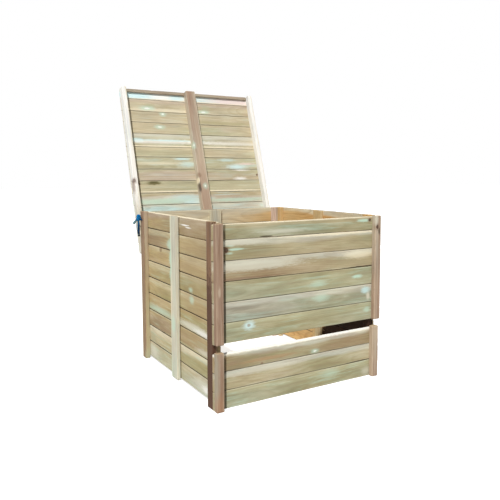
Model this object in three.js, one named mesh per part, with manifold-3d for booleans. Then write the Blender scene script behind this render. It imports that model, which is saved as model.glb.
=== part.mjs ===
// A slatted wooden compost bin with an open lid, in millimetres, +Z up.
// It faces -Y. Inside this file places are measured from the bin's front left corner
// on the ground: x to the right, y to the back, z up. The group at the end moves the
// origin to the middle of the whole object's footprint.

import * as THREE from "three";
import Module from "manifold-3d";
import { mergeVertices } from "three/addons/utils/BufferGeometryUtils.js";

const wasm = await Module();
wasm.setup();

// Driving sizes of the bin
const bin = { width: 1000, depth: 990, height: 889 };
const board = { thickness: 18, gap: 1, groundGap: 12, perPanel: 9 };
const post = { width: 54, thickness: 28 };
const endBatten = { width: 40, thickness: 28 };
const middleBatten = { width: 80, thickness: 18, groundGap: 6, fromFront: 437 };
const rearPanel = { drop: 4, middleFromLeft: 404 };
const rightPanel = { drop: 4 };

// The loose hatch at the foot of the front, the hand gap above it and the fixed upper front,
// whose top board is narrower than its full ones
const hatch = { narrower: 10, height: 280, boardDrop: 8, boards: 3, bevelDrop: 16 };
const handGap = 35;
const upperFront = { drop: 11, fullBoards: 5, topBoardShare: 0.757, battenLift: 3, battenRise: 4 };

// The lid, whose lower end leans on the rear wall
const lid = { insetLeft: 9, insetRight: 30, overhang: 91, below: 259, boardGap: 1.6 };
const lidLean = 17.86;
const lidRim = { width: 30, depth: 42 };
const lidBatten = { width: 67, fromLeft: 446 };
const lidRail = { width: 22, depth: 12 };
// Widths of the lid's boards from its top end down, as shares of a full board
const lidBoardShares = [0.81, 1.06, 0.97, 0.97, 1.16, 0.87, 1.03, 1, 1.01, 0.99, 1, 1, 1, 0.8];

// What holds it together
const rope = { diameter: 9, sides: 8, stepDiameters: 2 };
const ropeHole = { diameter: 11, depth: 22, sides: 16 };
const ropePostHole = { fromBack: 24, fromTop: 51 };
const ropeRimHole = { below: 60, fromFace: 21 };
const knot = {
  width: 24,
  height: 34,
  standOff: 1,
  above: 9,
  behindLeft: 20,
  behindRight: 22,
  intoPost: 12,
};
const knotSides = { around: 12, rings: 8 };

// Fits
const seatGap = 0.3;
const cutOverrun = 1;

const frontDepth = endBatten.thickness + board.thickness;
const rearInner = bin.depth - board.thickness;
const sideInner = post.thickness + board.thickness;
const panelDepth = post.thickness + board.thickness;
const hatchWidth = bin.width - hatch.narrower;
const lean = THREE.MathUtils.degToRad(lidLean);
const lidWidth = bin.width - lid.insetLeft - lid.insetRight;
const lidLength = bin.depth + lid.overhang;
const lidAbove = lidLength - lid.below;
const lidDepth = lidRim.depth + seatGap + board.thickness;
// Where the lid's open face passes the height of the side walls
const lidAtTop = bin.depth + seatGap + lid.below * Math.sin(lean);
const overallDepth = lidAtTop + lidAbove * Math.sin(lean) + lidDepth * Math.cos(lean);

function finish(name, color, roughness) {
  return new THREE.MeshStandardMaterial({ name, color, roughness, metalness: 0 });
}

const finishes = {
  sideBoard: () => finish("side boards", 0xb0a076, 0.85),
  frontBoard: () => finish("front boards", 0xa8a382, 0.85),
  post: () => finish("posts", 0x7d6146, 0.85),
  batten: () => finish("battens", 0xa08770, 0.85),
  paleBatten: () => finish("pale battens", 0xc8c3a5, 0.85),
  inside: () => finish("inside boards", 0xcca56a, 0.85),
  lidBoard: () => finish("lid boards", 0xbeaf8c, 0.85),
  lidRim: () => finish("lid rims", 0xebe6dc, 0.85),
  lidBatten: () => finish("lid middle batten", 0xa58c78, 0.85),
  lidRail: () => finish("lid rails", 0x735f50, 0.85),
  rope: () => finish("blue rope", 0x1478b4, 0.7),
};

function named(name, geometry, material) {
  const mesh = new THREE.Mesh(geometry, material);
  mesh.name = name;
  return mesh;
}

// A box between two corners
function block(low, high) {
  const size = high.map((value, axis) => value - low[axis]);
  const middle = high.map((value, axis) => (value + low[axis]) / 2);
  const geometry = new THREE.BoxGeometry(...size);
  geometry.translate(...middle);
  return geometry;
}

function toSolid(geometry) {
  const bare = geometry.clone();
  bare.deleteAttribute("normal");
  bare.deleteAttribute("uv");
  const merged = mergeVertices(bare);
  const vertProperties = new Float32Array(merged.attributes.position.array);
  const triVerts = new Uint32Array(merged.index.array);
  return new wasm.Manifold(new wasm.Mesh({ numProp: 3, vertProperties, triVerts }));
}

function toGeometry(solid) {
  const mesh = solid.getMesh();
  const geometry = new THREE.BufferGeometry();
  geometry.setAttribute("position", new THREE.BufferAttribute(new Float32Array(mesh.vertProperties), 3));
  geometry.setIndex(new THREE.BufferAttribute(new Uint32Array(mesh.triVerts), 1));
  geometry.computeVertexNormals();
  return geometry;
}

// Solids that touch, joined into one
function joined(geometries) {
  const solids = geometries.map((geometry) => toSolid(geometry));
  return toGeometry(solids.reduce((all, solid) => all.add(solid)));
}

// A round hole along X whose mouth is at the point given; into is 1 or -1
function ropeBore(mouth, into) {
  const length = ropeHole.depth + cutOverrun;
  const radius = ropeHole.diameter / 2;
  const geometry = new THREE.CylinderGeometry(radius, radius, length, ropeHole.sides);
  geometry.rotateZ(Math.PI / 2);
  geometry.translate(mouth.x + (into * (ropeHole.depth - cutOverrun)) / 2, mouth.y, mouth.z);
  return toSolid(geometry);
}

function bored(geometry, mouth, into) {
  return toGeometry(toSolid(geometry).subtract(ropeBore(mouth, into)));
}

// Heights of a panel's boards, one [bottom, top] for each
function boardRows(bottom, top, count, gap) {
  const pitch = (top - bottom) / count;
  const rows = [];
  for (let i = 0; i < count; i += 1) {
    rows.push([bottom + i * pitch, bottom + (i + 1) * pitch - gap]);
  }
  return rows;
}

const whole = new THREE.Group();

// The points where the ropes enter the wood
const postMouthLeft = new THREE.Vector3(
  0,
  bin.depth - ropePostHole.fromBack,
  bin.height - ropePostHole.fromTop,
);
const postMouthRight = new THREE.Vector3(bin.width, rearInner - ropePostHole.fromBack, postMouthLeft.z);

function addLeftPanel() {
  const rows = boardRows(board.groundGap, bin.height, board.perPanel, board.gap);
  const inner = sideInner;
  const frontPost = [frontDepth, frontDepth + post.width];
  const rearPost = [bin.depth - post.width, bin.depth];
  const middleStart = frontDepth + middleBatten.fromFront;
  const middle = [middleStart, middleStart + middleBatten.width];
  const front = block([0, frontPost[0], 0], [post.thickness, frontPost[1], bin.height]);
  const rear = block([0, rearPost[0], 0], [post.thickness, rearPost[1], bin.height]);
  whole.add(named("left_front_post", front, finishes.post()));
  whole.add(named("left_rear_post", bored(rear, postMouthLeft, 1), finishes.post()));
  const middleOuter = post.thickness - middleBatten.thickness;
  const batten = block(
    [middleOuter, middle[0], middleBatten.groundGap],
    [post.thickness, middle[1], bin.height - board.gap],
  );
  whole.add(named("left_middle_batten", batten, finishes.paleBatten()));
  rows.forEach(([low, high], i) => {
    const slat = block([post.thickness, frontDepth, low], [inner, bin.depth, high]);
    whole.add(named(`left_board_${i + 1}`, slat, finishes.sideBoard()));
  });
}

// The same panel turned end for end, so its posts stand inside the bin. Its boards and
// middle batten are one solid
function addRightPanel() {
  const top = bin.height - rightPanel.drop;
  const rows = boardRows(board.groundGap - rightPanel.drop, top, board.perPanel, board.gap);
  const outer = bin.width;
  const face = outer - board.thickness;
  const inner = outer - panelDepth;
  const frontPost = [frontDepth, frontDepth + post.width];
  const rearPost = [rearInner - post.width, rearInner];
  const middleStart = frontDepth + middleBatten.fromFront;
  const middle = [middleStart, middleStart + middleBatten.width];
  const front = block([inner, frontPost[0], 0], [face, frontPost[1], top]);
  whole.add(named("right_front_post", front, finishes.inside()));
  const rear = block([inner, rearPost[0], 0], [face, rearPost[1], top]);
  whole.add(named("right_rear_post", bored(rear, postMouthRight, -1), finishes.inside()));
  const batten = block(
    [face - middleBatten.thickness, middle[0], middleBatten.groundGap],
    [face, middle[1], top - board.gap],
  );
  const slats = rows.map(([low, high]) => block([face, frontDepth, low], [outer, rearInner, high]));
  const topSlat = slats.length - 1;
  slats[topSlat] = bored(slats[topSlat], postMouthRight, -1);
  whole.add(named("right_boards", joined([batten, ...slats]), finishes.inside()));
}

// The boards that close the back, one solid with their middle batten
function addRearPanel() {
  const top = bin.height - rearPanel.drop;
  const rows = boardRows(board.groundGap - rearPanel.drop, top, board.perPanel, board.gap);
  const left = sideInner;
  const right = bin.width - panelDepth;
  const leftBatten = [left, left + endBatten.width];
  const rightBatten = [right - endBatten.width, right];
  const middleStart = left + rearPanel.middleFromLeft;
  const middle = [middleStart, middleStart + middleBatten.width];
  const endFace = rearInner - endBatten.thickness;
  const middleFace = rearInner - middleBatten.thickness;
  const upright = ([from, to], face) => block([from, face, 0], [to, rearInner, top]);
  whole.add(named("rear_left_batten", upright(leftBatten, endFace), finishes.batten()));
  whole.add(named("rear_right_batten", upright(rightBatten, endFace), finishes.batten()));
  const middleSolid = block(
    [middle[0], middleFace, middleBatten.groundGap],
    [middle[1], rearInner, top - board.gap],
  );
  const slats = rows.map(([low, high]) => block([left, rearInner, low], [bin.width, bin.depth, high]));
  whole.add(named("rear_boards", joined([middleSolid, ...slats]), finishes.inside()));
}

function addUpperFront() {
  const { fullBoards, topBoardShare } = upperFront;
  const bottom = hatch.height + handGap;
  const top = bin.height - upperFront.drop;
  const fullTop = bottom + ((top - bottom) * fullBoards) / (fullBoards + topBoardShare);
  const rows = boardRows(bottom, fullTop, fullBoards, board.gap);
  rows.push([fullTop, top]);
  const leftBatten = [0, endBatten.width];
  const rightBatten = [bin.width - endBatten.width, bin.width];
  const upright = ([from, to]) =>
    block(
      [from, 0, bottom + upperFront.battenLift],
      [to, endBatten.thickness, top + upperFront.battenRise],
    );
  whole.add(named("front_left_batten", upright(leftBatten), finishes.batten()));
  whole.add(named("front_right_batten", upright(rightBatten), finishes.batten()));
  rows.forEach(([low, high], i) => {
    const slat = block([0, endBatten.thickness, low], [bin.width, frontDepth, high]);
    whole.add(named(`front_board_${i + 1}`, slat, finishes.frontBoard()));
  });
}

function addHatch() {
  const boardTop = hatch.height - hatch.boardDrop;
  const rows = boardRows(0, boardTop, hatch.boards, board.gap);
  const leftBatten = [0, endBatten.width];
  const rightBatten = [hatchWidth - endBatten.width, hatchWidth];
  const upright = ([from, to]) => block([from, 0, 0], [to, endBatten.thickness, hatch.height]);
  whole.add(named("hatch_left_batten", upright(leftBatten), finishes.batten()));
  whole.add(named("hatch_right_batten", upright(rightBatten), finishes.batten()));
  rows.forEach(([low, high], i) => {
    const isTop = i === rows.length - 1;
    const top = isTop ? boardTop : high;
    const frontTop = isTop ? top - hatch.bevelDrop : top;
    const section = new THREE.Shape([
      new THREE.Vector2(endBatten.thickness, low),
      new THREE.Vector2(frontDepth, low),
      new THREE.Vector2(frontDepth, top),
      new THREE.Vector2(endBatten.thickness, frontTop),
    ]);
    const slat = new THREE.ExtrudeGeometry(section, { depth: hatchWidth, bevelEnabled: false });
    slat.applyMatrix4(new THREE.Matrix4().makeBasis(
      new THREE.Vector3(0, 1, 0),
      new THREE.Vector3(0, 0, 1),
      new THREE.Vector3(1, 0, 0),
    ));
    whole.add(named(`hatch_board_${i + 1}`, slat, finishes.frontBoard()));
  });
}

// The lid in its own frame: x from its left edge, y through it from the face that looks
// forward when it is open, z up along it from the height of the side walls
function makeLid() {
  const group = new THREE.Group();
  const rimRight = lidWidth - lidRim.width;
  const battenRight = lidBatten.fromLeft + lidBatten.width;
  const rimMouth = new THREE.Vector3(0, ropeRimHole.fromFace, -ropeRimHole.below);
  const rimMouthRight = rimMouth.clone().setX(lidWidth);
  const strip = (from, to, low, high, face) => block([from, face, low], [to, lidRim.depth, high]);
  const leftRim = strip(0, lidRim.width, -lid.below, lidAbove, 0);
  const rightRim = strip(rimRight, lidWidth, -lid.below, lidAbove, 0);
  group.add(named("lid_left_rim", bored(leftRim, rimMouth, 1), finishes.lidRim()));
  group.add(named("lid_right_rim", bored(rightRim, rimMouthRight, -1), finishes.lidRim()));
  const batten = strip(lidBatten.fromLeft, battenRight, -lid.below, lidAbove, 0);
  group.add(named("lid_middle_batten", batten, finishes.lidBatten()));

  // Each rail is in two halves, either side of the middle batten
  const railFace = lidRim.depth - lidRail.depth;
  const halves = {
    left: [lidRim.width + seatGap, lidBatten.fromLeft - seatGap],
    right: [battenRight + seatGap, rimRight - seatGap],
  };
  for (const [side, [from, to]] of Object.entries(halves)) {
    const top = strip(from, to, lidAbove - lidRail.width, lidAbove, railFace);
    const bottom = strip(from, to, -lid.below, lidRail.width - lid.below, railFace);
    group.add(named(`lid_top_rail_${side}`, top, finishes.lidRail()));
    group.add(named(`lid_bottom_rail_${side}`, bottom, finishes.lidRail()));
  }

  const shareSum = lidBoardShares.reduce((sum, share) => sum + share);
  const boardFace = lidRim.depth + seatGap;
  let high = lidAbove;
  lidBoardShares.forEach((share, i) => {
    const isLast = i === lidBoardShares.length - 1;
    const pitch = (lidLength * share) / shareSum;
    const low = isLast ? -lid.below : high - pitch + lid.boardGap;
    const slat = block([0, boardFace, low], [lidWidth, boardFace + board.thickness, high]);
    group.add(named(`lid_board_${i + 1}`, slat, finishes.lidBoard()));
    high -= pitch;
  });
  group.position.set(lid.insetLeft, lidAtTop, bin.height);
  group.rotation.x = -lean;
  return group;
}

// Centre lines of the rope's free stretches, in millimetres in the bin's own places
const ropeRoutes = {
  rope_left_strand: [
    [-13, 998.4, 847], [-13, 1004.3, 846.7], [-13.4, 1009.9, 844.8], [-14.1, 1014.8, 841.7],
    [-15, 1018.9, 837.6], [-16.1, 1022.5, 833], [-17.2, 1025.8, 828.3], [-18.2, 1029.2, 823.5],
    [-19.2, 1033, 819.1], [-19.9, 1037.4, 815.4], [-20.3, 1042.6, 812.6], [-20.3, 1048.3, 811.2],
    [-19.9, 1054.2, 811.3], [-18.6, 1059.7, 812.8], [-16.3, 1064.4, 815.5], [-12.7, 1067.9, 818.7],
    [-8.2, 1070, 821.8], [-2.9, 1071, 824.2], [2.8, 1071.3, 825.5], [8.7, 1071.3, 825.5],
  ],
  rope_right_strand: [
    [1013, 982.4, 847], [1013, 989, 845.8], [1013, 995, 842.5], [1013, 999.5, 837], [1013, 1002.8, 830],
    [1012.8, 1006, 822.3], [1012.5, 1010.5, 814.8], [1012, 1016.5, 808], [1011.5, 1024, 803.8],
    [1010.5, 1032, 802.5], [1009, 1040, 803.8], [1006.5, 1047.5, 806.8], [1003, 1054, 811],
    [999, 1059.8, 815.8], [994, 1065, 820], [988, 1068.8, 823], [981.5, 1070.8, 824.9],
    [976, 1071.3, 825.5], [970.3, 1071.3, 825.5],
  ],
  rope_left_tail: [
    [-13, 986, 829.7], [-13, 986, 824], [-13, 986, 818], [-13.2, 986, 811], [-13.5, 986, 804],
    [-13.8, 986, 797], [-14, 986, 790], [-14, 986, 783], [-14, 986, 776], [-14, 986, 769],
    [-13.8, 986, 762], [-13.5, 986, 756], [-13.2, 986, 750], [-13, 986, 744], [-13, 986, 738],
  ],
};

function ropeTube(points) {
  const curve = new THREE.CatmullRomCurve3(points.map((point) => new THREE.Vector3(...point)));
  const outline = [];
  for (let i = 0; i < rope.sides; i += 1) {
    const angle = (i * 2 * Math.PI) / rope.sides;
    const radius = rope.diameter / 2;
    outline.push(new THREE.Vector2(radius * Math.cos(angle), radius * Math.sin(angle)));
  }
  const steps = Math.ceil(curve.getLength() / (rope.diameter * rope.stepDiameters));
  return new THREE.ExtrudeGeometry(new THREE.Shape(outline), {
    steps,
    extrudePath: curve,
    bevelEnabled: false,
  });
}

// A knot against the outside of a post, with the rope's short turn into the post's hole.
// outward is -1 on the left side and 1 on the right
function ropeKnot(mouth, behind, outward) {
  const middle = new THREE.Vector3(
    mouth.x + outward * (knot.width / 2 + knot.standOff),
    mouth.y + behind,
    mouth.z + knot.above,
  );
  const ball = new THREE.SphereGeometry(knot.width / 2, knotSides.around, knotSides.rings);
  ball.rotateX(Math.PI / 2);
  ball.scale(1, 1, knot.height / knot.width);
  ball.translate(...middle.toArray());
  const turn = ropeTube([
    middle.toArray(),
    [mouth.x + outward * rope.diameter, (mouth.y * 2 + middle.y) / 3, (mouth.z * 2 + middle.z) / 3],
    mouth.toArray(),
    [mouth.x - outward * knot.intoPost, mouth.y, mouth.z],
  ]);
  return toGeometry(toSolid(ball).add(toSolid(turn)));
}

function addRopes() {
  const left = ropeKnot(postMouthLeft, knot.behindLeft, -1);
  const right = ropeKnot(postMouthRight, knot.behindRight, 1);
  whole.add(named("rope_left_knot", left, finishes.rope()));
  whole.add(named("rope_right_knot", right, finishes.rope()));
  for (const [name, points] of Object.entries(ropeRoutes)) {
    whole.add(named(name, ropeTube(points), finishes.rope()));
  }
}

addLeftPanel();
addRightPanel();
addRearPanel();
addUpperFront();
addHatch();
addRopes();
whole.add(makeLid());

whole.position.set(-bin.width / 2, -overallDepth / 2, 0);

export default whole;
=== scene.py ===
import math
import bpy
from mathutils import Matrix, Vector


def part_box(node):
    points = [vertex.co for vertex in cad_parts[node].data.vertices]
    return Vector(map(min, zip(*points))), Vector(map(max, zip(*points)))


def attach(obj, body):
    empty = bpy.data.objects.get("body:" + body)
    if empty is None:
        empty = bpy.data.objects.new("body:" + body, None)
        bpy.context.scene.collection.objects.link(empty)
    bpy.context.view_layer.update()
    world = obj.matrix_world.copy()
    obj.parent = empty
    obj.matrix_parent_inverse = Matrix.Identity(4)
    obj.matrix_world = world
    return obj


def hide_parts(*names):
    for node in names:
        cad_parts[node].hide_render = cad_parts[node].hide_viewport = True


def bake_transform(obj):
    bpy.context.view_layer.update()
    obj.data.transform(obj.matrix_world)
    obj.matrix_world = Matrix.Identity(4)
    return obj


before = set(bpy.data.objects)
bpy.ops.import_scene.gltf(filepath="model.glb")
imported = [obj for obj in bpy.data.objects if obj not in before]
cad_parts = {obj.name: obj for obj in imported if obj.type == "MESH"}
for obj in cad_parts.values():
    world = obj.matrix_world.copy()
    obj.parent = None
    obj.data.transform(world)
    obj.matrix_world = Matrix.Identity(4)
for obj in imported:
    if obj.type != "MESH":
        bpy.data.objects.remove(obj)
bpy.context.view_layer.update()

import zlib

import bpy
import numpy as np
from mathutils import Matrix, Vector

print("frame loaded,", len(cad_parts), "solids")

# the photographer stands left of the bin, with the camera at chest height
cameraSpec = {
    "at": (-1.6632, -2.9783, 1.1030),
    "yaw": 30.47,           # degrees to the right of straight back
    "down": 4.89,
    "roll": -0.0036,        # radians
    "lens": 41.15, "film": 36, "farthest": 200,
    "shift": (-0.0012, -0.0526),
}


def putIn(name, data):
    made = bpy.data.objects.new(name, data)
    bpy.context.scene.collection.objects.link(made)
    return made


def makeCamera(spec):
    yaw, down, roll = math.radians(spec["yaw"]), math.radians(spec["down"]), spec["roll"]
    ahead = Vector((math.sin(yaw) * math.cos(down), math.cos(yaw) * math.cos(down), -math.sin(down)))
    level = Vector((math.cos(yaw), -math.sin(yaw), 0))
    up = level.cross(ahead)
    right = level * math.cos(roll) + up * math.sin(roll)
    top = up * math.cos(roll) - level * math.sin(roll)
    data = bpy.data.cameras.new("viewCamera")
    data.sensor_width, data.lens, data.clip_end = spec["film"], spec["lens"], spec["farthest"]
    data.shift_x, data.shift_y = spec["shift"]
    camera = putIn("viewCamera", data)
    turn = Matrix((right, top, -ahead)).transposed().to_4x4()
    camera.matrix_world = Matrix.Translation(spec["at"]) @ turn
    bpy.context.scene.camera = camera


def srgb(red, green, blue):
    flat = [c / 255 for c in (red, green, blue)]
    return tuple(c / 12.92 if c <= 0.04045 else ((c + 0.055) / 1.055) ** 2.4 for c in flat)


def plug(value, socket):
    if isinstance(value, bpy.types.NodeSocket):
        socket.node.id_data.links.new(value, socket)
    elif socket.type == "RGBA" and len(value) == 3:
        socket.default_value = (*value, 1)
    else:
        socket.default_value = value


def addNode(tree, kind, options=None, **inputs):
    made = tree.nodes.new("ShaderNode" + kind)
    for key, value in (options or {}).items():
        setattr(made, key, value)
    for key, value in inputs.items():
        plug(value, made.inputs[key.replace("_", " ")])
    return made


def fillNode(kind, values, **options):
    # beside the node that the first wire comes from; the inputs are filled in turn
    wire = next(v for v in values if isinstance(v, bpy.types.NodeSocket))
    made = addNode(wire.node.id_data, kind, options)
    for value, socket in zip(values, made.inputs):
        if value is not None:
            plug(value, socket)
    return made.outputs


def calc(operation, *values):
    return fillNode("Math", values, operation=operation)[0]


def times(*values):
    return calc("MULTIPLY", *values)


def timesPlus(*values):
    return calc("MULTIPLY_ADD", *values)


def vectorCalc(operation, *values):
    made = fillNode("VectorMath", values, operation=operation)
    return made["Value" if operation == "LENGTH" else "Vector"]


def stretched(vector, by):
    return vectorCalc("MULTIPLY", vector, by)


def fade(value, low, high, start=0.0, end=1.0):
    return fillNode("MapRange", (value, low, high, start, end), interpolation_type="SMOOTHSTEP")[0]


def mixColour(share, first, second, way="MIX"):
    # the colours are the seventh and eighth of the node's inputs
    values = (share, *[None] * 5, first, second)
    return fillNode("Mix", values, data_type="RGBA", blend_type=way)[2]


def filtered(colour, by):
    return mixColour(1.0, colour, by, "MULTIPLY")


def noise(vector, stretch, detail=2.0, rough=0.5):
    return addNode(vector.node.id_data, "TexNoise", Vector=stretched(vector, stretch), Scale=1.0,
                   Detail=detail, Roughness=rough).outputs[0]


def attribute(tree, name):
    return addNode(tree, "Attribute", {"attribute_name": name}).outputs["Vector"]


def split(vector):
    return fillNode("SeparateXYZ", [vector])


def emptyMaterial(name):
    material = bpy.data.materials.new(name)
    material.use_nodes = True
    material.node_tree.nodes.clear()
    return material, material.node_tree


def seenDirectly(tree):
    path = addNode(tree, "LightPath").outputs
    either = calc("MAXIMUM", path["Is Camera Ray"], path["Is Glossy Ray"])
    return calc("MAXIMUM", either, path["Is Transmission Ray"])


def showShader(shader, inView=None, output="OutputMaterial"):
    # inView is the shader that the camera gets to see instead
    tree = shader.node.id_data
    if inView is not None:
        shader = fillNode("MixShader", (seenDirectly(tree), shader, inView))[0]
    plug(shader, addNode(tree, output).inputs["Surface"])


def showSkin(tree, colour, height, strength, distance, **inputs):
    bump = addNode(tree, "Bump", Strength=strength, Distance=distance, Height=height)
    showShader(addNode(tree, "BsdfPrincipled", Base_Color=colour, Normal=bump.outputs[0],
                       **inputs).outputs[0])


# sunlight from left of the front, open sky, white paper colour to the edges of the picture
stageSpec = {
    "suns": {    # degrees left of the front, degrees up, power, degrees of spread
        "sun": (43, 51, 3.7, 2),
        "skyFill": (-140, 28, 0.5, 80),
    },
    "sky": (0.93, 0.97, 1.0), "skyPower": 0.25,
    "floorSide": 90, "floorColour": (0.60, 0.60, 0.59), "floorLift": 0.72,
}


def makeSun(name, turn, height, power, spread):
    data = bpy.data.lights.new(name, "SUN")
    data.energy = power
    data.angle = math.radians(spread)
    turn, height = math.radians(turn), math.radians(height)
    towards = Vector((-math.sin(turn) * math.cos(height), -math.cos(turn) * math.cos(height),
                      math.sin(height)))
    putIn(name, data).rotation_euler = towards.to_track_quat("Z", "Y").to_euler()


def makeStage(spec):
    bpy.context.scene.view_settings.view_transform = "Standard"
    for name, light in spec["suns"].items():
        makeSun(name, *light)

    world = bpy.data.worlds.new("openSky")
    bpy.context.scene.world = world
    world.use_nodes = True
    tree = world.node_tree
    tree.nodes.clear()
    sky, white = (addNode(tree, "Background", Color=colour, Strength=power).outputs[0]
                  for colour, power in ((spec["sky"], spec["skyPower"]), ((1.0, 1.0, 1.0), 1.0)))
    showShader(sky, white, "OutputWorld")

    half = spec["floorSide"] / 2
    mesh = bpy.data.meshes.new("paleFloor")
    mesh.from_pydata([(-half, -half, 0), (half, -half, 0), (half, half, 0), (-half, half, 0)], [],
                     [(0, 1, 2, 3)])
    material, tree = emptyMaterial("paleFloor")
    plain = addNode(tree, "BsdfDiffuse", Color=spec["floorColour"]).outputs[0]
    glow = addNode(tree, "Emission", Strength=spec["floorLift"]).outputs[0]
    showShader(plain, fillNode("AddShader", (plain, glow))[0])
    mesh.materials.append(material)
    putIn("paleFloor", mesh)


makeCamera(cameraSpec)
makeStage(stageSpec)
print("camera, sky and floor stand")

# route points count from the left outer face, the front of the front battens and the ground, in mm
panelCorner = np.array((500.0, 689.614, 0.0))

ropeSpec = {
    "thickness": 0.009,
    "layLength": 0.027,       # one turn of a strand
    "strandShare": 0.29,      # strand radius against the rope's thickness
    "strandOut": 0.29,
    "around": 8,
    "step": 0.0016,           # between two rings of points
    "tailLoose": 0.5,
    "opensOver": 0.02,        # metres from the knot
    "roundedEnd": 0.0022,
    "seal": ((0.005, 0.0042), (0.013, 0.0022)),    # melted bead and whipping: from the end, and how long
    "binWidth": 1000,         # the right side mirrors the left
    "sides": {    # the post's hole, and how much of the strand's start the bin holds
        "left": {"hole": (0, 986, 847), "held": 0.0016},
        "right": {"hole": (0, 970, 847), "held": 0.0026},
    },
    "heldByLid": 0.0033,      # of the strand's end
    "leftStrand": [
        (-13, 998.4, 847), (-13, 1004.3, 846.7), (-13.4, 1009.9, 844.8), (-14.1, 1014.8, 841.7),
        (-15, 1018.9, 837.6), (-16.1, 1022.5, 833), (-17.2, 1025.8, 828.3), (-18.2, 1029.2, 823.5),
        (-19.2, 1033, 819.1), (-19.9, 1037.4, 815.4), (-20.3, 1042.6, 812.6), (-20.3, 1048.3, 811.2),
        (-19.9, 1054.2, 811.3), (-18.6, 1059.7, 812.8), (-16.3, 1064.4, 815.5), (-12.7, 1067.9, 818.7),
        (-8.2, 1070, 821.8), (-2.9, 1071, 824.2), (2.8, 1071.3, 825.5), (8.7, 1071.3, 825.5),
    ],
    "rightStrand": [
        (1013, 982.4, 847), (1013, 989, 845.8), (1013, 995, 842.5), (1013, 999.5, 837),
        (1013, 1002.8, 830), (1012.8, 1006, 822.3), (1012.5, 1010.5, 814.8), (1012, 1016.5, 808),
        (1011.5, 1024, 803.8), (1010.5, 1032, 802.5), (1009, 1040, 803.8), (1006.5, 1047.5, 806.8),
        (1003, 1054, 811), (999, 1059.8, 815.8), (994, 1065, 820), (988, 1068.8, 823),
        (981.5, 1070.8, 824.9), (976, 1071.3, 825.5), (970.3, 1071.3, 825.5),
    ],
    "strandShades": [(0, 0.05, 0, 0), (0.02, 0.1, 0.1, 0), (0.035, 0.1, 0.9, 0), (1, 0.1, 0.8, 0)],
    # the darker navy on the knot's last, lowest wraps and along the tail is painted shade
    "knotShades": [[(0, 0.8, 0, 0), (0.02, 0.9, 0, 0), (0.04, 0.1, 0, 0)],
                   [(0, 0.0, 0, 0), (0.10, 0.05, 0, 0), (0.16, 0.1, 0, 0), (0.20, 0.6, 0, 0)]],
    "tailShades": [(0, 0.35, 0, 0), (0.025, 0.85, 0, 0), (0.09, 1.0, 0, 0)],
    "leftTail": [
        (-13, 986, 829.7), (-13, 986, 824), (-13, 986, 818), (-13.2, 986, 811), (-13.5, 986, 804),
        (-13.8, 986, 797), (-14, 986, 790), (-14, 986, 783), (-14, 986, 776), (-14, 986, 769),
        (-13.8, 986, 762), (-13.5, 986, 756), (-13.2, 986, 750), (-13, 986, 744), (-13, 986, 738),
    ],
    "blue": srgb(0, 122, 184),
    "navy": srgb(0, 34, 62),
    "faded": srgb(120, 146, 132),
    "furrow": (0.001, 0.010, 0.035), "fuzz": (0.20, 0.52, 0.66), "burnt": (0.006, 0.009, 0.012),
}


def toRow(points):
    return (np.array(points, float) - panelCorner) / 1000


def runAlong(path):
    return np.concatenate([[0], np.cumsum(np.linalg.norm(np.diff(path, axis=0), axis=1))])


def smoothPath(points, step):
    # a smooth curve through every point, cut into even steps
    between = 12
    points = np.array(points, float)
    padded = np.vstack([2 * points[0] - points[1], points, 2 * points[-1] - points[-2]])
    fine = []
    for i in range(1, len(padded) - 2):
        a, b, c, d = padded[i - 1:i + 3]
        for t in np.linspace(0, 1, between, endpoint=False):
            fine.append(0.5 * (2 * b + (c - a) * t + (2 * a - 5 * b + 4 * c - d) * t * t
                               + (3 * b - a - 3 * c + d) * t ** 3))
    fine = np.array([*fine, points[-1]])
    run = runAlong(fine)
    even = np.linspace(0, run[-1], max(3, int(round(run[-1] / step)) + 1))
    return np.stack([np.interp(even, run, fine[:, k]) for k in range(3)], axis=1)


def carriedFrames(path):
    # side directions that turn as little as possible along the path
    anySide = (0.31, 0.11, 0.94)        # no path starts along it
    ahead = np.gradient(path, axis=0)
    ahead /= np.linalg.norm(ahead, axis=1)[:, None]
    side = np.cross(ahead[0], anySide)
    sides = []
    for way in ahead:
        side = side - way * side.dot(way)
        side = side / np.linalg.norm(side)
        sides.append(side)
    sides = np.array(sides)
    return ahead, sides, np.cross(ahead, sides)


def tubeFaces(count, around):
    # rings of points in turn, then the two caps
    faces = [(i * around + j, i * around + (j + 1) % around,
              (i + 1) * around + (j + 1) % around, (i + 1) * around + j)
             for i in range(count - 1) for j in range(around)]
    last = (count - 1) * around
    return faces + [tuple(range(around))[::-1], tuple(range(last, last + around))]


def tubeOf(path, radii, around):
    ahead, side, up = carriedFrames(path)
    turn = np.linspace(0, 2 * math.pi, around, endpoint=False)
    rim = np.cos(turn)[None, :, None] * side[:, None] + np.sin(turn)[None, :, None] * up[:, None]
    points = (path[:, None] + rim * np.asarray(radii)[:, None, None]).reshape(-1, 3)
    return points, tubeFaces(len(path), around)


def meshPiece(name, points, faces, material=None):
    mesh = bpy.data.meshes.new(name)
    mesh.from_pydata([tuple(p) for p in points], [], faces)
    mesh.polygons.foreach_set("use_smooth", [True] * len(mesh.polygons))
    mesh.validate()
    if material:
        mesh.materials.append(material)
    return putIn(name, mesh)


def meshPoints(mesh):
    points = np.zeros(len(mesh.vertices) * 3, np.float32)
    mesh.vertices.foreach_get("co", points)
    return points.reshape(-1, 3).astype(float)


def writeAttribute(mesh, name, values):
    values = np.asarray(values, np.float32)
    kind, field = ("FLOAT", "value") if values.ndim == 1 else ("FLOAT_VECTOR", "vector")
    made = mesh.attributes.new(name, kind, "POINT")
    made.data.foreach_set(field, values.ravel())


def settle(piece, body, slot, *nodes):
    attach(piece, body)
    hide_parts(*nodes)


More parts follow.
